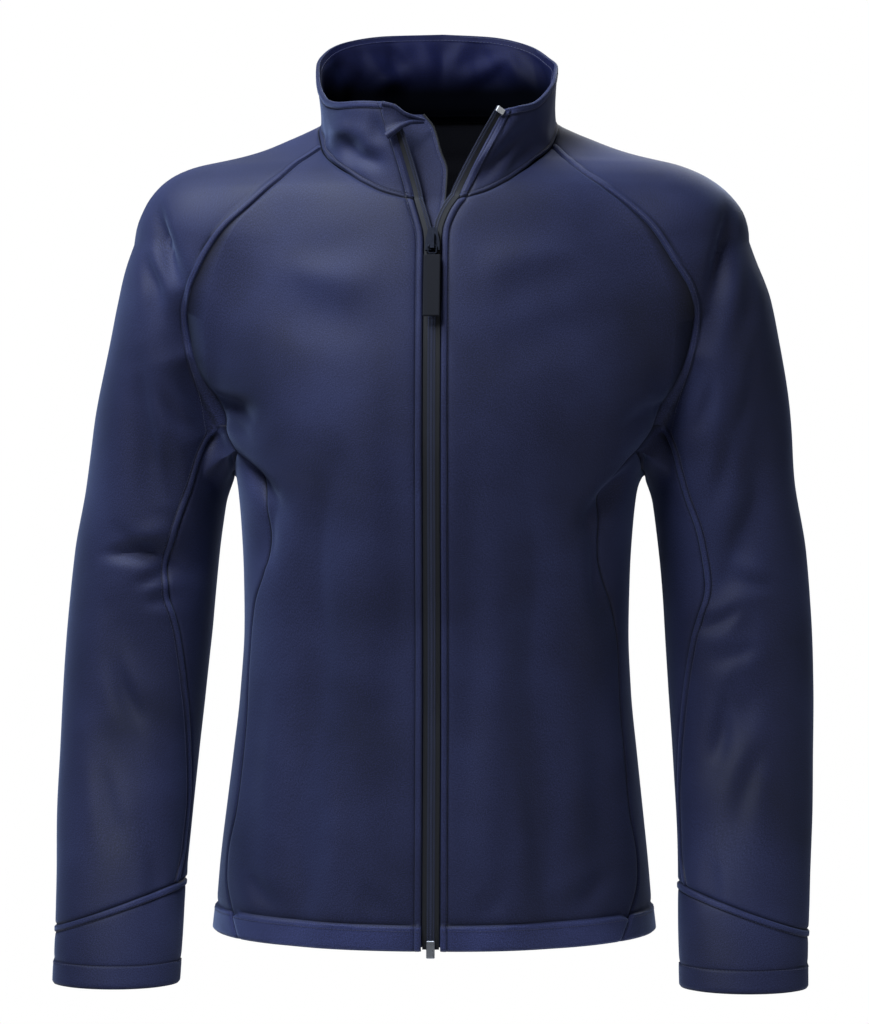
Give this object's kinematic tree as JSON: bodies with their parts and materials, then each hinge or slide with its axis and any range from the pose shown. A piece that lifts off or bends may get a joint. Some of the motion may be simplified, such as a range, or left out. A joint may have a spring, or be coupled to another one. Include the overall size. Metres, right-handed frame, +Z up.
{
  "type": "softshell jacket",
  "caption": "Worn, hollow softshell jacket with raglan sleeves, a stand collar, curved side panels and a full front zip open at the neck, whose pull tab swings.",
  "frame": {"origin": "base of the neck, midway between the shoulders that hold the jacket up", "axes": "+Z up, -Y the way the front faces, +X towards the wearer's left"},
  "size_m": [0.6906, 0.2872, 0.8713],
  "materials": {
    "navy_softshell": "matte woven face of a bonded softshell",
    "collar_inside": "matte, the same cloth turned inside the collar",
    "zip_tape": "woven tape of a reversed coil zip",
    "slider_metal": "gunmetal, satin",
    "pull_rubber": "matte moulded rubber, bare",
    "stop_white": "white moulded stop",
    "box_steel": "bright nickel"
  },
  "bodies": {
    "jacket": {"front_right": "navy_softshell", "front_left": "navy_softshell", "back": "navy_softshell", "side_panel_right": "navy_softshell", "side_panel_left": "navy_softshell", "sleeve_upper_right": "navy_softshell", "sleeve_upper_left": "navy_softshell", "sleeve_under_right": "navy_softshell", "sleeve_under_left": "navy_softshell", "cuff_right": "navy_softshell", "cuff_left": "navy_softshell", "collar_outer": "navy_softshell", "collar_inner": "collar_inside", "storm_flap": "collar_inside", "chin_guard": "navy_softshell", "zip_tape_right": "zip_tape", "zip_tape_left": "zip_tape", "zip_slider": "slider_metal", "zip_top_stop": "stop_white", "zip_bottom_box": "box_steel"},
    "pull_tab": {"pull_ring": "slider_metal", "pull_tab": "pull_rubber"}
  },
  "joints": [
    {"name": "pull_tab_swing", "type": "hinge", "parent": "jacket", "child": "pull_tab", "pos_m": [0, -0.11754, -0.09693], "axis": [-1, 0, 0], "range_deg": [0, 150]}
  ]
}
